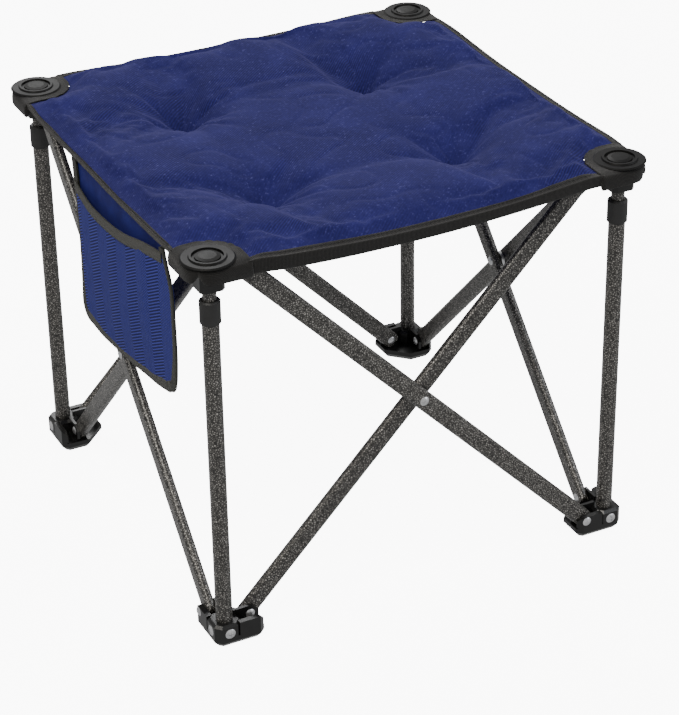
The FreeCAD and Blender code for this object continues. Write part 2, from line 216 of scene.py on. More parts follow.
def hammertonePaint():
    # hammertone powder coat: pale metallic cells between dark veins, satin clear surface
    material, tree, shader = newMaterial("hammertonePowderCoat")
    setShader(shader, {"Metallic": 0.4, "Roughness": 0.36, "Coat Weight": 0.35, "Coat Roughness": 0.2})
    place = addNode(tree, "ShaderNodeTexCoord")
    bend = addNode(tree, "ShaderNodeTexNoise", {"Scale": 260.0, "Detail": 2.0},
                   {"Vector": place.outputs["Object"]})
    shift = addNode(tree, "ShaderNodeVectorMath", {"operation": "SCALE", "Scale": 0.0016},
                    {0: bend.outputs["Color"]})
    moved = addNode(tree, "ShaderNodeVectorMath", {"operation": "ADD"},
                    {0: place.outputs["Object"], 1: shift.outputs["Vector"]})
    # cells about 2 mm across
    cells = addNode(tree, "ShaderNodeTexVoronoi", {"feature": "DISTANCE_TO_EDGE", "Scale": 1 / (2.0 * mm)},
                    {"Vector": moved.outputs["Vector"]})
    specks = addNode(tree, "ShaderNodeTexNoise", {"Scale": 520.0, "Detail": 4.0, "Roughness": 0.7},
                     {"Vector": place.outputs["Object"]})
    joined = addNode(tree, "ShaderNodeMath", {"operation": "MULTIPLY"},
                     {0: cells.outputs["Distance"], 1: specks.outputs["Fac"]})
    tone = addNode(tree, "ShaderNodeValToRGB", {"stops": [(0.02, "#262524"), (0.08, "#55534f"), (0.16, "#989591"),
                                                          (0.3, "#cfccc7")]}, {"Fac": joined.outputs["Value"]})
    tree.links.new(tone.outputs["Color"], shader.inputs["Base Color"])
    bumps = addNode(tree, "ShaderNodeBump", {"Strength": 0.6, "Distance": 0.0005},
                    {"Height": cells.outputs["Distance"]})
    tree.links.new(bumps.outputs["Normal"], shader.inputs["Normal"])
    return material


def mouldedPlastic(name, dark, light, roughness, grainSize, bump, specular=0.5):
    # injection moulded nylon: fine spark texture, a little dust in its colour
    material, tree, shader = newMaterial(name)
    setShader(shader, {"IOR": 1.5, "Specular IOR Level": specular})
    place = addNode(tree, "ShaderNodeTexCoord")
    grain = addNode(tree, "ShaderNodeTexNoise", {"Scale": 1 / grainSize, "Detail": 3.0},
                    {"Vector": place.outputs["Object"]})
    wide = addNode(tree, "ShaderNodeTexNoise", {"Scale": 40.0, "Detail": 4.0, "Roughness": 0.6},
                   {"Vector": place.outputs["Object"]})
    tone = addNode(tree, "ShaderNodeValToRGB", {"stops": [(0.35, dark), (0.7, light)]},
                   {"Fac": wide.outputs["Fac"]})
    tree.links.new(tone.outputs["Color"], shader.inputs["Base Color"])
    rough = addNode(tree, "ShaderNodeMapRange", {"To Min": roughness - 0.08, "To Max": roughness + 0.1},
                    {"Value": wide.outputs["Fac"]})
    tree.links.new(rough.outputs["Result"], shader.inputs["Roughness"])
    bumps = addNode(tree, "ShaderNodeBump", {"Strength": bump, "Distance": 0.0003},
                    {"Height": grain.outputs["Fac"]})
    tree.links.new(bumps.outputs["Normal"], shader.inputs["Normal"])
    return material


def zincSteel():
    # zinc plated steel: pale, a little cloudy
    material, tree, shader = newMaterial("zincPlatedSteel")
    setShader(shader, {"Metallic": 0.85})
    place = addNode(tree, "ShaderNodeTexCoord")
    cloud = addNode(tree, "ShaderNodeTexNoise", {"Scale": 300.0, "Detail": 3.0},
                    {"Vector": place.outputs["Object"]})
    tone = addNode(tree, "ShaderNodeValToRGB", {"stops": [(0.3, "#c4c5c7"), (0.7, "#ececed")]},
                   {"Fac": cloud.outputs["Fac"]})
    tree.links.new(tone.outputs["Color"], shader.inputs["Base Color"])
    rough = addNode(tree, "ShaderNodeMapRange", {"To Min": 0.2, "To Max": 0.42},
                    {"Value": cloud.outputs["Fac"]})
    tree.links.new(rough.outputs["Result"], shader.inputs["Roughness"])
    return material


def pocketNet():
    # knitted polyester net: upright columns of slanting stitches that change direction at each column
    material, tree, shader = newMaterial("knittedNetBlue")
    setShader(shader, {"Roughness": 0.75, "Sheen Weight": 0.12, "Sheen Tint": srgb("#6a6cb0"),
                       "Specular IOR Level": 0.2})
    place = addNode(tree, "ShaderNodeTexCoord")
    split = addNode(tree, "ShaderNodeSeparateXYZ", links={"Vector": place.outputs["UV"]})
    # columns 24 mm wide; a triangle wave over two columns makes the zigzag, its stitches coarser than real
    fold = addNode(tree, "ShaderNodeMath", {"operation": "PINGPONG", 1: 24 * mm}, {0: split.outputs["X"]})
    slant = addNode(tree, "ShaderNodeMath", {"operation": "MULTIPLY_ADD", 1: 0.55},
                    {0: fold.outputs["Value"], 2: split.outputs["Y"]})
    ridge = addNode(tree, "ShaderNodeMath", {"operation": "PINGPONG", 1: 1.6 * mm},
                    {0: slant.outputs["Value"]})
    height = addNode(tree, "ShaderNodeMapRange", {"From Max": 1.6 * mm}, {"Value": ridge.outputs["Value"]})
    tone = addNode(tree, "ShaderNodeValToRGB", {"stops": [(0.12, "#0a0c36"), (0.5, "#1e2370"), (0.9, "#444ba6")]},
                   {"Fac": height.outputs["Result"]})
    tree.links.new(tone.outputs["Color"], shader.inputs["Base Color"])
    bumps = addNode(tree, "ShaderNodeBump", {"Strength": 0.8, "Distance": 0.0007},
                    {"Height": height.outputs["Result"]})
    tree.links.new(bumps.outputs["Normal"], shader.inputs["Normal"])
    return material


def plainPolyester():
    # smooth lining cloth, plain weave
    material, tree, shader = newMaterial("plainPolyesterBlue")
    setShader(shader, {"Roughness": 0.75, "Sheen Weight": 0.1, "Sheen Tint": srgb("#6a6cb0"),
                       "Specular IOR Level": 0.2})
    place = addNode(tree, "ShaderNodeTexCoord")
    cloud = addNode(tree, "ShaderNodeTexNoise", {"Scale": 60.0, "Detail": 4.0},
                    {"Vector": place.outputs["Object"]})
    weave = addNode(tree, "ShaderNodeTexNoise", {"Scale": 800.0, "Detail": 2.0},
                    {"Vector": place.outputs["Object"]})
    tone = addNode(tree, "ShaderNodeValToRGB", {"stops": [(0.3, "#1a1e62"), (0.7, "#252a78")]},
                   {"Fac": cloud.outputs["Fac"]})
    tree.links.new(tone.outputs["Color"], shader.inputs["Base Color"])
    bumps = addNode(tree, "ShaderNodeBump", {"Strength": 0.3, "Distance": 0.0004},
                    {"Height": weave.outputs["Fac"]})
    tree.links.new(bumps.outputs["Normal"], shader.inputs["Normal"])
    return material


fabric = brushedPolyester()
webbing = polyesterWebbing("polyesterWebbingCharcoal", "#060606", "#1f1d1b", 1.3 * mm)
pocketTape = polyesterWebbing("polyesterTapeOlive", "#0d0e0a", "#33342a", 1.1 * mm)
capPlastic = mouldedPlastic("mouldedNylonSatin", "#060606", "#0d0c0c", 0.5, 0.5 * mm, 0.15, 0.22)
footPlastic = mouldedPlastic("mouldedNylonGlossy", "#0e0e0e", "#191919", 0.3, 0.6 * mm, 0.12)
collarPlastic = mouldedPlastic("mouldedNylonMatte", "#1b1b1b", "#2a2a2a", 0.5, 0.4 * mm, 0.3)
paint = hammertonePaint()
zinc = zincSteel()
netCloth = pocketNet()
lining = plainPolyester()
print("materials made")

nodeMaterials = {"foot_fasteners": zinc, "foot": footPlastic, "lower_post": paint, "upper_post": paint,
                 "collar": collarPlastic, "bracket_rivets": zinc, "bracket": footPlastic,
                 "inner_brace": paint, "outer_brace": paint, "cross_rivet": zinc, "corner_cap": capPlastic}
for name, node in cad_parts.items():
    kind = next((k for k in sorted(nodeMaterials, key=len, reverse=True) if name.startswith(k)), None)
    if kind:
        node.data.materials.clear()
        node.data.materials.append(nodeMaterials[kind])



seatPad = {
    "half": hemOut - 4.2 * mm,
    "cell": 4.0 * mm,
    "edgeThickness": 2.6 * mm,
    "thickness": 9.0 * mm,
    "edgeTop": 3.2 * mm,          # cloth at the very edge, under the seat's top
    "puff": 5.0 * mm,             # filling above the seat's top between tacks and edge
    "edgeSag": [9.0 * mm, 4.0 * mm, 4.0 * mm, 1.5 * mm],    # hem's middle below its ends: front, right, back, left
    "middleSag": 17.0 * mm,
    "tackX": 101 * mm, "tackY": 97 * mm, "tackDepth": 27 * mm, "tackSpread": 24 * mm,
    "notch": 29 * mm,             # cut away round each cap, under the patch
    "pressure": 3.0, "frames": 20, "cap": 7 * mm, "spare": 0.045,
}


def edgeDrop(along, side):
    # the hem hangs a little between the corners
    t = min(1.0, abs(along) / patchEdge)
    return seatPad["edgeSag"][side] * (1 - t * t) ** 1.2


def padTop(x, y):
    # drawn height of the top cloth before it is blown up
    s = seatPad
    inX, inY = s["half"] - abs(x), s["half"] - abs(y)
    inner = min(inX, inY)
    nearX = smoothStep(0, 150 * mm, inX)
    nearY = smoothStep(0, 150 * mm, inY)
    edgeWeightY = 1 - smoothStep(0, 110 * mm, inY)
    edgeWeightX = 1 - smoothStep(0, 110 * mm, inX)
    drop = max(edgeDrop(x, 0 if y < 0 else 2) * edgeWeightY, edgeDrop(y, 3 if x < 0 else 1) * edgeWeightX)
    z = seatTop - drop - s["middleSag"] * nearX * nearY
    z -= (s["edgeTop"] + s["puff"]) * (1 - smoothStep(0, 22 * mm, inner)) - s["puff"]
    for px in (-1, 1):
        for py in (-1, 1):
            d = math.hypot(x - px * s["tackX"], y - py * s["tackY"])
            depth = s["tackDepth"] - s["middleSag"] * 0.62
            z -= (depth + s["puff"]) * math.exp(-(d / s["tackSpread"]) ** 1.3)
    # furrows between neighbouring tacks
    for a, b in (((-1, -1), (-1, 1)), ((-1, -1), (1, -1)), ((1, -1), (1, 1)), ((-1, 1), (1, 1))):
        ax, ay, bx, by = a[0] * s["tackX"], a[1] * s["tackY"], b[0] * s["tackX"], b[1] * s["tackY"]
        run = Vector((bx - ax, by - ay))
        t = ((x - ax) * run.x + (y - ay) * run.y) / run.length_squared
        tt = min(1.0, max(0.0, t))
        d = math.hypot(x - ax - run.x * tt, y - ay - run.y * tt)
        z -= 3.0 * mm * math.exp(-(d / (9 * mm)) ** 2) * (0.45 + 0.55 * abs(2 * tt - 1))
    # thin where it runs in under the corner patches
    u, v = postAxis - abs(x), postAxis - abs(y)
    away = max(u, v) if min(u, v) < 0 else math.hypot(u, v)
    flat = 1 - smoothStep(31 * mm, 50 * mm, away)
    return z * (1 - flat) + (patchHigh.z - 1.5 * mm) * flat


def inNotch(x, y, size):
    u, v = postAxis - abs(x), postAxis - abs(y)
    if u < 0 or v < 0:
        return max(u, v) < size
    return math.hypot(u, v) < size


def onEdge(x, y):
    s = seatPad
    return s["half"] - max(abs(x), abs(y))


def drawPad():
    s = seatPad
    count = round(2 * s["half"] / s["cell"])
    bm = bmesh.new()
    bmesh.ops.create_grid(bm, x_segments=count, y_segments=count, size=s["half"])
    gone = [v for v in bm.verts if inNotch(v.co.x, v.co.y, s["notch"])]
    bmesh.ops.delete(bm, geom=gone, context="VERTS")
    bmesh.ops.solidify(bm, geom=list(bm.faces), thickness=1 * mm)
    bm.verts.ensure_lookup_table()
    middle = sum(v.co.z for v in bm.verts) / len(bm.verts)
    for v in bm.verts:
        x, y, upper = v.co.x, v.co.y, v.co.z > middle
        inner = onEdge(x, y)
        top = padTop(x, y)
        z = top
        if not upper:
            full = s["edgeThickness"] + (s["thickness"] - s["edgeThickness"]) * smoothStep(0, 26 * mm, inner)
            z = top - full
            if abs(x) > patchEdge - 4 * mm and abs(y) > patchEdge - 4 * mm:
                z = min(max(z, patchHigh.z - 2.2 * mm), top - 0.4 * mm)
        v.co.z = z
    bmesh.ops.recalc_face_normals(bm, faces=bm.faces)
    return bm


padBm = drawPad()
print("pad drawn", len(padBm.verts), "vertices")


def blowUp(obj):
    # cloth with a little spare material and air inside, held at its hem, notches and tacks
    s = seatPad
    scene = bpy.context.scene
    start = np.array([v.co for v in obj.data.vertices])
    group = obj.vertex_groups.new(name="held")
    for v in obj.data.vertices:
        x, y = v.co.x, v.co.y
        tack = min(math.hypot(abs(x) - s["tackX"], abs(y) - s["tackY"]), 1.0)
        if onEdge(x, y) < 9 * mm or inNotch(x, y, s["notch"] + 7 * mm) or tack < 5 * mm:
            group.add([v.index], 1.0, "REPLACE")
    cloth = obj.modifiers.new("cloth", "CLOTH")
    settings = cloth.settings
    settings.quality = 6
    settings.mass = 0.25
    settings.tension_stiffness = 18
    settings.compression_stiffness = 18
    settings.shear_stiffness = 6
    settings.bending_stiffness = 0.12
    settings.use_pressure = True
    settings.uniform_pressure_force = s["pressure"]
    settings.shrink_min = -s["spare"]
    settings.vertex_group_mass = "held"
    settings.pin_stiffness = 50
    settings.effector_weights.gravity = 0
    cloth.collision_settings.use_collision = False
    cloth.point_cache.frame_start = 1
    cloth.point_cache.frame_end = s["frames"]
    for frameNumber in range(1, s["frames"] + 1):
        scene.frame_set(frameNumber)
    bakeModifiers(obj)
    scene.frame_set(1)
    place = np.array([v.co for v in obj.data.vertices])
    move = place - start
    length = np.linalg.norm(move, axis=1, keepdims=True)
    soft = s["cap"] * np.tanh(length / s["cap"]) / np.maximum(length, 1e-9)
    for v, p in zip(obj.data.vertices, start + move * soft):
        v.co = p


creases = {"depth": 2.6 * mm, "near": 5 * mm, "far": 95 * mm, "spokes": 1.9, "width": 0.2,
           "fine": 0.9 * mm, "fineSize": 45 * mm, "fineWidth": 0.1, "edge": 16 * mm}


def creaseDepth(x, y):
    # sharp folds running out from each tack, and finer ones between them
    c, s = creases, seatPad
    depth = 0.0
    for px in (-1, 1):
        for py in (-1, 1):
            away = Vector((x - px * s["tackX"], y - py * s["tackY"]))
            d = away.length
            if c["near"] < d < c["far"]:
                way = away / d * c["spokes"]
                spoke = noise.noise(Vector((way.x + 11 * px, way.y + 7 * py, 0.3 + d * 5)))
                fade = smoothStep(c["near"], 3 * c["near"], d) * (1 - smoothStep(0.3 * c["far"], c["far"], d))
                depth += c["depth"] * fade * (math.exp(-(spoke / c["width"]) ** 2) - 0.4)
    ripple = noise.noise(Vector((x / c["fineSize"], y / c["fineSize"], 3.7)))
    depth += c["fine"] * math.exp(-(ripple / c["fineWidth"]) ** 2)
    return depth


def creasePad(obj):
    # normals are read before any point moves, because each read after a move works them all out again
    c = creases
    uppers = [v.normal.z > 0.2 for v in obj.data.vertices]
    for v, upper in zip(obj.data.vertices, uppers):
        x, y = v.co.x, v.co.y
        if upper and not inNotch(x, y, seatPad["notch"] + 14 * mm):
            v.co.z -= creaseDepth(x, y) * smoothStep(0.3 * c["edge"], c["edge"], onEdge(x, y))


padObj = finishMesh("padWhole", padBm, fabric)
blowUp(padObj)
print("pad blown up")
smoother = padObj.modifiers.new("smoother", "SUBSURF")
smoother.levels = smoother.render_levels = 1
bakeModifiers(padObj)
creasePad(padObj)
padTree = BVHTree.FromObject(padObj, bpy.context.evaluated_depsgraph_get())


def padHeight(x, y):
    # top of the pad, or 0 where there is none
    hit = padTree.ray_cast(Vector((x, y, 1.0)), Vector((0, 0, -1)))
    return hit[0].z if hit[0] is not None else 0.0


def cutPad(name, planes):
    # closed part of the pad on the kept side of each upright plane, shaded as the whole pad is
    bm = bmesh.new()
    bm.from_mesh(padObj.data)
    layer = bm.verts.layers.float_vector.new("wholeNormal")
    for v in bm.verts:
        v[layer] = v.normal
    for point, normal in planes:
        geom = list(bm.verts) + list(bm.edges) + list(bm.faces)
        cut = bmesh.ops.bisect_plane(bm, geom=geom, dist=1e-6, plane_co=point, plane_no=normal, clear_outer=True)
        rim = [e for e in cut["geom_cut"] if isinstance(e, bmesh.types.BMEdge) and e.is_boundary]
        filled = bmesh.ops.edgeloop_fill(bm, edges=rim)["faces"]
        bmesh.ops.triangulate(bm, faces=filled, quad_method="BEAUTY", ngon_method="EAR_CLIP")
    faces = [f for f in bm.faces if any(
        abs((v.co - Vector(p)).dot(Vector(n))) < 1e-6 for p, n in planes for v in f.verts)]
    capFaces = [f for f in faces if any(
        all(abs((v.co - Vector(p)).dot(Vector(n))) < 1e-6 for v in f.verts) for p, n in planes)]
    bmesh.ops.recalc_face_normals(bm, faces=bm.faces)
    bm.faces.index_update()
    capIndex = {f.index for f in capFaces}
    bm.verts.index_update()
    normals = [Vector(v[layer]) for v in bm.verts]
    obj = finishMesh(name, bm, fabric)
    custom = [None] * len(obj.data.loops)
    for polygon in obj.data.polygons:
        for loop in polygon.loop_indices:
            whole = normals[obj.data.loops[loop].vertex_index]
            flat = polygon.index in capIndex or whole.length < 0.5
            custom[loop] = tuple(polygon.normal) if flat else tuple(whole.normalized())
    obj.data.normals_split_custom_set(custom)
    return obj


def fold(piece, side):
    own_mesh(piece)


for index, side in enumerate(sides):
    spin = turned(index)
    p = patchEdge
    ends = [((-p, 0, 0), (-1, 0, 0)), ((p, 0, 0), (1, 0, 0))]
    strip = ends + [((0, -p, 0), (0, 1, 0))]
    wedge = [((0, -p, 0), (0, -1, 0)), ((0, 0, 0), (1, 1, 0)), ((0, 0, 0), (-1, 1, 0))]
    cornerSquare = [((-p, 0, 0), (1, 0, 0)), ((0, -p, 0), (0, 1, 0))]

    def placed(planes):
        return [(spin @ Vector(a), (spin @ Vector(b)).normalized()) for a, b in planes]

    part = cutPad("padStrip_" + side, placed(strip))
    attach(part, stripBracket[side])
    fold(part, index)
    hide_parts("seat_edge_" + side)
    part = cutPad("padWedge_" + side, placed(wedge))
    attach(part, "seat_panel_" + side)
    fold(part, index)
    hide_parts("seat_panel_" + side)
    part = cutPad("padCorner_" + corners[index], placed(cornerSquare))
    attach(part, "bracket_" + corners[index])
bpy.data.objects.remove(padObj)



edgeTape = {"top": [8 * mm, 7 * mm, 7 * mm, 3 * mm], "side": [11.5 * mm, 10 * mm, 10 * mm, 6 * mm],
            "under": 6 * mm,
            "thickness": 0.9 * mm, "lean": 2.2 * mm, "steps": 150, "overlap": 12 * mm}


def tapeOuter(along, side):
    # outer face of the edge, a little wavy, tucked in where it runs under the patches
    ending = smoothStep(0, 34 * mm, patchEdge + edgeTape["overlap"] - abs(along))
    sway = noise.noise(Vector((along * 9, side * 3.1, 4.5)))
    return -hemOut + 2.6 * mm + (0.2 * mm + 1.6 * mm * sway) * ending - 1.2 * mm * ending


def tapeTop(along, side):
    return seatTop - 1.6 * mm - edgeDrop(along, side)


def drawTape(side):
    # front side's tape in place: over the pad's edge, down the side and under, wavy where the pad swells
    t = edgeTape
    length = patchEdge + t["overlap"]
    profile = [(0, 0.0), (0, 0.34), (0, 0.68), (0, 1.0), (1, 0.0), (1, 0.33), (1, 0.66), (1, 1.0), (2, 1.0)]
    bm = bmesh.new()
    uv = bm.loops.layers.uv.new("tapeMap")
    bmesh.ops.create_grid(bm, x_segments=t["steps"], y_segments=len(profile) - 1, size=1.0)
    rows = len(profile) - 1
    spin = turned(side)
    plan = {}
    for v in bm.verts:
        along = v.co.x * length
        row = round((v.co.y + 1) / 2 * rows)
        kind, share = profile[row]
        wander = noise.noise(Vector((along * 14, side * 7.3, 0.5)))
        outer, top = tapeOuter(along, side), tapeTop(along, side)
        deep = t["side"][side] + 1.2 * mm * noise.noise(Vector((along * 7, side * 5.7, 8.5)))
        if side == 0:
            deep += 3.5 * mm * smoothStep(0.02, 0.17, -along)
        if kind == 0:
            inward = (1 - share) * (t["top"][side] + 1.6 * mm * wander)
            y = outer + inward + 1.0 * mm
            world = spin @ Vector((along, y, 0))
            z = max(padHeight(world.x, world.y) + 0.5 * mm, top - 2.6 * mm)
            if share == 1.0:
                z = top - 0.6 * mm
        elif kind == 1:
            y = outer - (0.2 * mm if share else 0) + t["lean"] * 0.5 * share
            z = top - 1.4 * mm - share * deep
        else:
            y = outer + t["lean"] * 0.5 + t["under"]
            z = top - 1.0 * mm - deep
        plan[v] = (along, row * 3.4 * mm)
        v.co = spin @ Vector((along, y, z))
    for face in bm.faces:
        for loop in face.loops:
            loop[uv].uv = plan[loop.vert]
    bmesh.ops.recalc_face_normals(bm, faces=bm.faces)
    bm.faces.ensure_lookup_table()
    outwardSum = sum(f.normal.dot(spin @ Vector((0, -1, 0.6))) for f in bm.faces)
    if outwardSum < 0:
        bmesh.ops.reverse_faces(bm, faces=bm.faces)
    bmesh.ops.solidify(bm, geom=list(bm.faces), thickness=t["thickness"])
    return bm


for index, side in enumerate(sides):
    tape = finishMesh("edgeTape_" + side, drawTape(index), webbing)
    soft = tape.modifiers.new("soft", "SUBSURF")
    soft.levels = soft.render_levels = 1
    bakeModifiers(tape)
    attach(tape, stripBracket[side])
    fold(tape, index)
print("tapes made")



patch = {"inner": 33 * mm, "outer": 22.6 * mm, "hole": 7.6 * mm, "thickness": 1.7 * mm, "skirt": 13.5 * mm,
         "rings": 10, "around": 144}


def patchReach(angle):
    # distance from the post axis to the patch's edge, +X and +Y inboard
    c, s = math.cos(angle), math.sin(angle)
    if c >= 0 and s >= 0:
        return patch["inner"]
    if c < 0 and s < 0:
        return patch["outer"]
    low, high = (c, s) if c < 0 else (s, c)
    return min(patch["outer"] / max(-low, 1e-6), patch["inner"] / max(high, 1e-6))


def drawPatch(index):
    p = patch
    bm = bmesh.new()
    uv = bm.loops.layers.uv.new("patchMap")
    made = bmesh.ops.create_circle(bm, segments=p["around"], radius=1.0)
    ring = made["verts"]
    edges = [e for e in bm.edges]
    rings = [list(ring)]
    total = p["rings"] + 6
    for step in range(total):
        grown = bmesh.ops.extrude_edge_only(bm, edges=edges)["geom"]
        edges = [g for g in grown if isinstance(g, bmesh.types.BMEdge)]
        verts = [g for g in grown if isinstance(g, bmesh.types.BMVert)]
        rings.append(verts)
    spin = turned(index)
    plan = {}
    for number, verts in enumerate(rings):
        for v in verts:
            angle = math.atan2(v.co.y, v.co.x)
            reach = patchReach(angle)
            c, s = math.cos(angle), math.sin(angle)
            # how far down this side hangs: fully outside, hardly at the inboard arc
            reachX, reachY = reach * c, reach * s
            outside = max(smoothStep(12 * mm, 21 * mm, -reachX), smoothStep(12 * mm, 21 * mm, -reachY))
            if number <= p["rings"]:
                share = number / p["rings"]
                r = p["hole"] + (reach - p["hole"]) * share
                x, y = r * c, r * s
                x, y = max(x, -p["outer"]), max(y, -p["outer"])
                world = spin @ Vector((x - postAxis, y - postAxis, 0))
                z = max(patchHigh.z, padHeight(world.x, world.y) + p["thickness"] + 0.3 * mm)
                fall = smoothStep(15 * mm, 24 * mm, math.hypot(min(x, 0), min(y, 0)))
                z -= 2.0 * mm * fall * outside
                z += 0.5 * mm * (1 - outside) * math.sin(share * math.pi)
                length = r
            else:
                share = (number - p["rings"]) / 6
                x, y = reach * c, reach * s
                out = Vector((x if x < 0 else 0, y if y < 0 else 0))
                if out.length > 0:
                    out.normalize()
                bulge = 1.3 * mm * math.sin(share * math.pi * 0.8) * outside + 0.9 * mm * outside
                x, y = x + out.x * bulge, y + out.y * bulge
                world = spin @ Vector((reach * c - postAxis, reach * s - postAxis, 0))
                z = max(patchHigh.z, padHeight(world.x, world.y) + p["thickness"] + 0.3 * mm) - 2.0 * mm * outside
                z -= share * (p["skirt"] * outside + 1.0 * mm * (1 - outside))
                length = reach + share * p["skirt"]
            plan[v] = (length, angle * 25 * mm)
            v.co = spin @ Vector((x - postAxis, y - postAxis, z))
    for face in bm.faces:
        for loop in face.loops:
            loop[uv].uv = plan[loop.vert]
    bmesh.ops.recalc_face_normals(bm, faces=bm.faces)
    if sum(f.normal.z * f.calc_area() for f in bm.faces) < 0:
        bmesh.ops.reverse_faces(bm, faces=bm.faces)
    bmesh.ops.solidify(bm, geom=list(bm.faces), thickness=p["thickness"])
    return bm


for index, corner in enumerate(corners):
    obj = finishMesh("cornerPatch_" + corner, drawPatch(index), webbing)
    soft = obj.modifiers.new("soft", "SUBSURF")
    soft.levels = soft.render_levels = 1
    bakeModifiers(obj)
    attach(obj, "bracket_" + corner)
    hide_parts("corner_patch_" + corner)
print("patches made")



stitching = {"length": 3.2 * mm, "pitch": 4.4 * mm, "radius": 0.42 * mm}


def addStitch(bm, place, along, up, length, radius):
    # one short raised stitch, drawn as a stretched bead
    matrix = Matrix((along, up.cross(along), up)).transposed().to_4x4()
    made = bmesh.ops.create_uvsphere(bm, u_segments=6, v_segments=5, radius=1.0)
    bmesh.ops.scale(bm, vec=(length / 2, radius, radius), verts=made["verts"])
    bmesh.ops.transform(bm, matrix=Matrix.Translation(place) @ matrix, verts=made["verts"])


def stitchLine(name, points, ups, material):
    # evenly spaced stitches along a line of points
    bm = bmesh.new()
    travelled, due = 0.0, stitching["pitch"] / 2
    for a, b, up in zip(points, points[1:], ups):
        step = (b - a).length
        while travelled + step >= due:
            place = a.lerp(b, (due - travelled) / step)
            along = (b - a).normalized()
            side = up.cross(along).normalized()
            addStitch(bm, place, along, along.cross(side).normalized(), stitching["length"], stitching["radius"])
            due += stitching["pitch"]
        travelled += step
    return finishMesh(name, bm, material)


thread = mouldedPlastic("polyesterThreadBlack", "#121212", "#242321", 0.6, 0.3 * mm, 0.3)
for index, side in enumerate(sides):
    spin = turned(index)
    line, ups = [], []
    for step in range(241):
        along = -patchEdge + 2 * patchEdge * step / 240
        world = spin @ Vector((along, tapeOuter(along, index) + 1 * mm + 0.6 * edgeTape["top"][index], 0))
        world.z = max(padHeight(world.x, world.y) + 1.4 * mm, tapeTop(along, index) - 1.6 * mm)
        line.append(world)
        ups.append(Vector((0, 0, 1)))
    stitches = stitchLine("edgeStitches_" + side, line, ups, thread)
    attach(stitches, stripBracket[side])
    fold(stitches, index)

tack = {"span": 5.2 * mm, "wire": 0.45 * mm, "gap": 0.95 * mm, "strands": 4}
blueThread = mouldedPlastic("polyesterThreadBlue", "#14174a", "#1d2160", 0.6, 0.3 * mm, 0.3)
for px in (-1, 1):
    for py in (-1, 1):
        bm = bmesh.new()
        for strand in range(tack["strands"]):
            made = bmesh.ops.create_circle(bm, segments=8, radius=tack["wire"], matrix=Matrix.Translation(
                (tack["span"] / 2, 0, 0)) @ Matrix.Rotation(math.radians(90), 4, "X"))
            ring = [v for v in made["verts"]]
            edges = [e for e in bm.edges if e.verts[0] in ring and e.verts[1] in ring]
            bmesh.ops.spin(bm, geom=ring + edges, cent=(0, 0, 0), axis=(0, -1, 0), dvec=(0, 0, 0),
                                  angle=math.radians(180), steps=12, use_merge=False, use_duplicate=False)
        # strands lie side by side, flattened onto the cloth
        perStrand = len(bm.verts) // tack["strands"]
        bm.verts.ensure_lookup_table()
        x, y = px * seatPad["tackX"], py * seatPad["tackY"]
        turn = Matrix.Rotation(math.radians(38 * px * py), 4, "Z")
        for number, v in enumerate(bm.verts):
            offset = (number // perStrand - (tack["strands"] - 1) / 2) * tack["gap"]
            v.co = turn @ Vector((v.co.x, v.co.y + offset, v.co.z * 0.45 + 0.1 * mm))
            v.co += Vector((x, y, padHeight(x, y)))
        bmesh.ops.recalc_face_normals(bm, faces=bm.faces)
        name = "tack_" + ("front" if py < 0 else "back") + ("_left" if px < 0 else "_right")
        obj = finishMesh(name, bm, blueThread)
        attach(obj, "seat_panel_" + ("left" if px < 0 else "right"))
        fold(obj, 3 if px < 0 else 1)
print("thread laid")



netLow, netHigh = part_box("pocket_front")
clothLow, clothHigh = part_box("pocket_back")
pocket = {"seam": netLow.x + 6 * mm, "netBulge": 4.6 * mm, "backBulge": 4.2 * mm, "corner": 17 * mm,
          "mouth": [1 * mm, 7 * mm, 17 * mm, 23 * mm, 25 * mm, 19 * mm],    # under the hem, front end to back end
          "floor": [3 * mm, -2 * mm, -4.5 * mm, -4.5 * mm, 1 * mm],         # above a straight floor
          "slant": 23 * mm, "frontSway": 5.5 * mm, "backSway": 6 * mm,
          "tapeWidth": 11 * mm, "thickness": 0.7 * mm, "tapeThickness": 0.8 * mm}


def pocketFloor(share):
    lifts = pocket["floor"]
    at = share * (len(lifts) - 1)
    low = min(int(at), len(lifts) - 2)
    f = smoothStep(0, 1, at - low)
    return netLow.z + 2 * mm + pocket["slant"] * (1 - share) + lifts[low] * (1 - f) + lifts[low + 1] * f


def pocketMouth(share):
    # height of the mouth, from the front end to the back end
    drops = pocket["mouth"]
    at = share * (len(drops) - 1)
    low = min(int(at), len(drops) - 2)
    before, after = drops[max(low - 1, 0)], drops[min(low + 2, len(drops) - 1)]
    a, b, f = drops[low], drops[low + 1], at - low
    curve = (b - before) / 2 * f * (1 - f) ** 2 - (after - a) / 2 * f * f * (1 - f)
    return hemLow - (a + (b - a) * f * f * (3 - 2 * f) + curve)


def pocketSide(z):
    # front and back edges of the pocket, a little uneven
    share = (hemLow - z) / (hemLow - netLow.z)
    swing = math.sin(math.pi * min(1.0, max(0.0, share)))
    frontY = netLow.y + 14 * mm * (1 - smoothStep(-0.05, 0.22, share)) + 6 * mm * smoothStep(0.55, 1.0, share)
    frontY -= pocket["frontSway"] * 0.6 * swing
    backY = netHigh.y - pocket["backSway"] * swing
    return frontY, backY


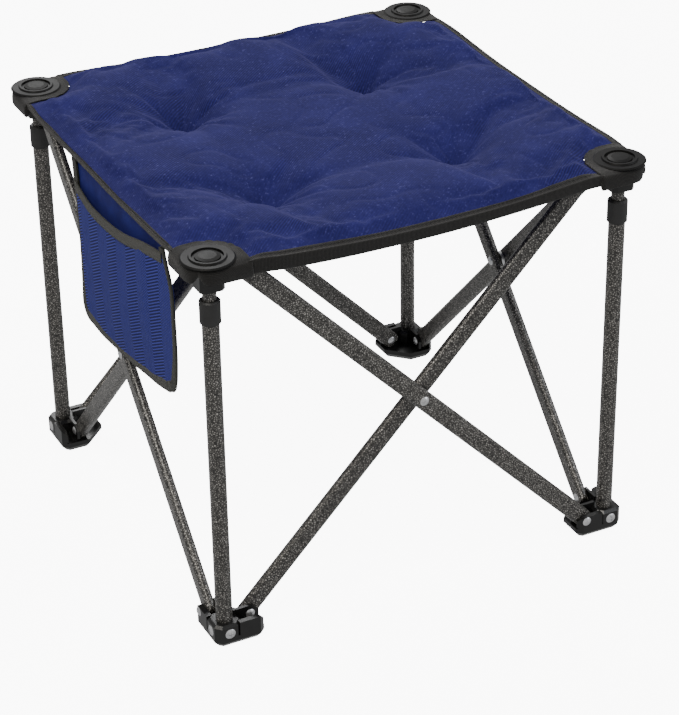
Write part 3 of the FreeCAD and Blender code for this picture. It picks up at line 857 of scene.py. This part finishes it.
def pocketCloth(name, topLine, bulge, depth, material, seed):
    # sheet between the pocket's side edges and floor, up to topLine, its bottom corners rounded
    k = pocket
    bm = bmesh.new()
    uv = bm.loops.layers.uv.new("netMap")
    bmesh.ops.create_grid(bm, x_segments=64, y_segments=54, size=1.0)
    plan = {}
    for v in bm.verts:
        s, t = (v.co.x + 1) / 2, (v.co.y + 1) / 2
        low, high = pocketFloor(s), topLine(s)
        z = low + (high - low) * t
        frontY, backY = pocketSide(z)
        y = frontY + (backY - frontY) * s
        r = k["corner"]
        for edge, way in ((frontY, 1), (backY, -1)):
            a, b = (y - edge) * way, z - low
            if a < r and b < r:
                # the square corner is pressed into a round one
                e, g = 1 - a / r, 1 - b / r
                a, b = r - r * e * math.sqrt(1 - g * g / 2), r - r * g * math.sqrt(1 - e * e / 2)
                y, z = edge + way * a, low + b
        swell = (math.sin(math.pi * s) ** 0.7) * (1 - (1 - min(1.0, 1.25 * t)) ** 2.2)
        ripple = noise.noise(Vector((y * 17, z * 9, seed))) * 1.6 * mm + noise.noise(Vector((y * 42, z * 12, seed + 5))) * 0.7 * mm
        x = k["seam"] + depth + bulge * swell + ripple * min(1.0, 4 * s, 4 * (1 - s), 5 * t)
        v.co = Vector((x, y, z))
        plan[v] = (y, z)
    for face in bm.faces:
        for loop in face.loops:
            loop[uv].uv = plan[loop.vert]
    bmesh.ops.recalc_face_normals(bm, faces=bm.faces)
    if sum(f.normal.x for f in bm.faces) > 0:
        bmesh.ops.reverse_faces(bm, faces=bm.faces)
    area = sum(f.calc_area() for f in bm.faces)
    bmesh.ops.solidify(bm, geom=list(bm.faces), thickness=k["thickness"])
    return finishMesh(name, bm, material), area


def foldedTape(name, line, inward, width, material):
    # tape folded over an edge: width on the outer face, round the edge, width on the inner face
    k = pocket
    bm = bmesh.new()
    uv = bm.loops.layers.uv.new("tapeMap")
    across = [(-1.5, 1.0), (-1.9, 0.5), (-2.0, 0.12), (-1.5, -0.06), (0.0, -0.16),
              (1.5, -0.06), (2.0, 0.12), (1.9, 0.5), (1.5, 1.0)]
    bmesh.ops.create_grid(bm, x_segments=len(line) - 1, y_segments=len(across) - 1, size=1.0)
    lengths = [0.0]
    for a, b in zip(line, line[1:]):
        lengths.append(lengths[-1] + (b - a).length)
    plan = {}
    for v in bm.verts:
        at = round((v.co.x + 1) / 2 * (len(line) - 1))
        row = round((v.co.y + 1) / 2 * (len(across) - 1))
        out, share = across[row]
        v.co = line[at] + inward[at] * share * width + Vector((out * 0.62 * mm, 0, 0))
        plan[v] = (lengths[at], row * 2.4 * mm)
    for face in bm.faces:
        for loop in face.loops:
            loop[uv].uv = plan[loop.vert]
    bmesh.ops.recalc_face_normals(bm, faces=bm.faces)
    bm.faces.ensure_lookup_table()
    away = sum(f.normal.x * (1 if f.calc_center_median().x > line[0].x else -1) for f in bm.faces)
    if away < 0:
        bmesh.ops.reverse_faces(bm, faces=bm.faces)
    bmesh.ops.solidify(bm, geom=list(bm.faces), thickness=k["tapeThickness"])
    obj = finishMesh(name, bm, material)
    soft = obj.modifiers.new("soft", "SUBSURF")
    soft.levels = soft.render_levels = 1
    bakeModifiers(obj)
    return obj, lengths[-1]


def ridePocket(obj):
    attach(obj, "bracket_back_left")
    fold(obj, 3)


def makePocket():
    k = pocket
    net, netArea = pocketCloth("pocketNet", lambda share: pocketMouth(share), -k["netBulge"], -0.6 * mm, netCloth, 2.0)
    top = hemLow + 6 * mm
    back, backArea = pocketCloth("pocketCloth", lambda share: top, k["backBulge"], 0.8 * mm, lining, 9.0)
    # outline down the back edge, along the floor and up the front edge
    line, inward = [], []
    r = k["corner"]
    start = top - 1 * mm
    rounds = []
    lowBack, lowFront = pocketFloor(1.0), pocketFloor(0.0)
    for step in range(31):
        z = start + (lowBack + r - start) * step / 30
        rounds.append((pocketSide(z)[1], z))
    backEdge = pocketSide(lowBack + r)[1]
    for step in range(1, 9):
        a = math.radians(90) * step / 9
        rounds.append((backEdge - r + r * math.cos(a), lowBack + r - r * math.sin(a)))
    frontEdge = pocketSide(lowFront + r)[0]
    for step in range(41):
        y = backEdge - r + (frontEdge + r - backEdge + r) * step / 40
        share = (y - frontEdge) / (backEdge - frontEdge)
        rounds.append((y, pocketFloor(share)))
    for step in range(1, 9):
        a = math.radians(90) * step / 9
        rounds.append((frontEdge + r - r * math.sin(a), lowFront + r - r * math.cos(a)))
    for step in range(31):
        z = lowFront + r + (start - lowFront - r) * step / 30
        rounds.append((pocketSide(z)[0], z))
    for number, (y, z) in enumerate(rounds):
        before, after = rounds[max(0, number - 1)], rounds[min(len(rounds) - 1, number + 1)]
        tangent = Vector((0, after[0] - before[0], after[1] - before[1])).normalized()
        line.append(Vector((k["seam"], y, z)))
        inward.append(Vector((0, tangent.z, -tangent.y)))
    if inward[0].y > 0:
        inward = [-v for v in inward]
    tape, tapeLength = foldedTape("pocketTape", line, inward, k["tapeWidth"], pocketTape)
    mouthLine, mouthIn = [], []
    for step in range(61):
        share = 0.012 + 0.976 * step / 60
        z = pocketMouth(share)
        frontY, backY = pocketSide(z)
        swell = math.sin(math.pi * share) ** 0.7
        mouthLine.append(Vector((k["seam"] - 0.6 * mm - k["netBulge"] * swell, frontY + (backY - frontY) * share, z)))
        mouthIn.append(Vector((0, 0, -1)))
    mouth, mouthLength = foldedTape("pocketMouthTape", mouthLine, mouthIn, k["tapeWidth"] * 0.95, pocketTape)
    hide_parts("pocket_front")
    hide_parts("pocket_back")
    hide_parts("pocket_binding")
    for obj, slot in ((net, "pocket_net"), (back, "pocket_cloth"), (tape, "pocket_tape"), (mouth, "pocket_tape")):
        ridePocket(obj)


makePocket()
print("pocket made")



def areaLight(name, place, aim, size, power, colour):
    data = bpy.data.lights.new(name, "AREA")
    data.shape = "DISK"
    data.size = size
    data.energy = power
    data.color = srgb(colour)[:3]
    obj = bpy.data.objects.new(name, data)
    bpy.context.scene.collection.objects.link(obj)
    obj.location = place
    obj.rotation_euler = (Vector(aim) - Vector(place)).to_track_quat("-Z", "Y").to_euler()


def makeStage():
    bm = bmesh.new()
    bmesh.ops.create_grid(bm, x_segments=2, y_segments=2, size=14.0)
    material, tree, shader = newMaterial("paleFloor")
    setShader(shader, {"Base Color": srgb("#f6f6f6"), "Roughness": 0.9, "Specular IOR Level": 0.1,
                       "Emission Color": srgb("#ffffff"), "Emission Strength": 9.0})
    floor = finishMesh("floor", bm, material, smooth=False)
    floor.visible_diffuse = False
    floor.visible_glossy = False
    world = bpy.data.worlds.new("studio")
    world.use_nodes = True
    background = world.node_tree.nodes["Background"]
    background.inputs["Color"].default_value = srgb("#ffffff")
    background.inputs["Strength"].default_value = 0.5
    bpy.context.scene.world = world
    areaLight("key", (-1.4, -1.2, 2.6), (0, 0, 0.3), 1.6, 54, "#fffaf2")
    areaLight("fill", (2.2, -1.6, 1.6), (0, 0, 0.3), 1.8, 24, "#f4f8ff")
    areaLight("rim", (0.6, 2.4, 2.2), (0, 0, 0.4), 1.2, 34, "#ffffff")


view = {"place": (-0.94309, -1.95132, 1.38338), "right": (0.89229303, -0.45125527, -0.01348415),
        "up": (0.23438718, 0.43752659, 0.86812046), "lens": 123.45, "shiftX": -0.0069, "shiftY": 0.0002}


def makeCamera():
    data = bpy.data.cameras.new("camera")
    data.sensor_width = 36.0
    data.lens = view["lens"]
    data.shift_x = view["shiftX"]
    data.shift_y = view["shiftY"]
    data.clip_end = 60.0
    obj = bpy.data.objects.new("camera", data)
    bpy.context.scene.collection.objects.link(obj)
    right, up = Vector(view["right"]), Vector(view["up"])
    back = right.cross(up)
    turn = Matrix((right, up, back)).transposed().to_4x4()
    obj.matrix_world = Matrix.Translation(Vector(view["place"])) @ turn
    bpy.context.scene.camera = obj


makeStage()
makeCamera()
print("stage and camera set")
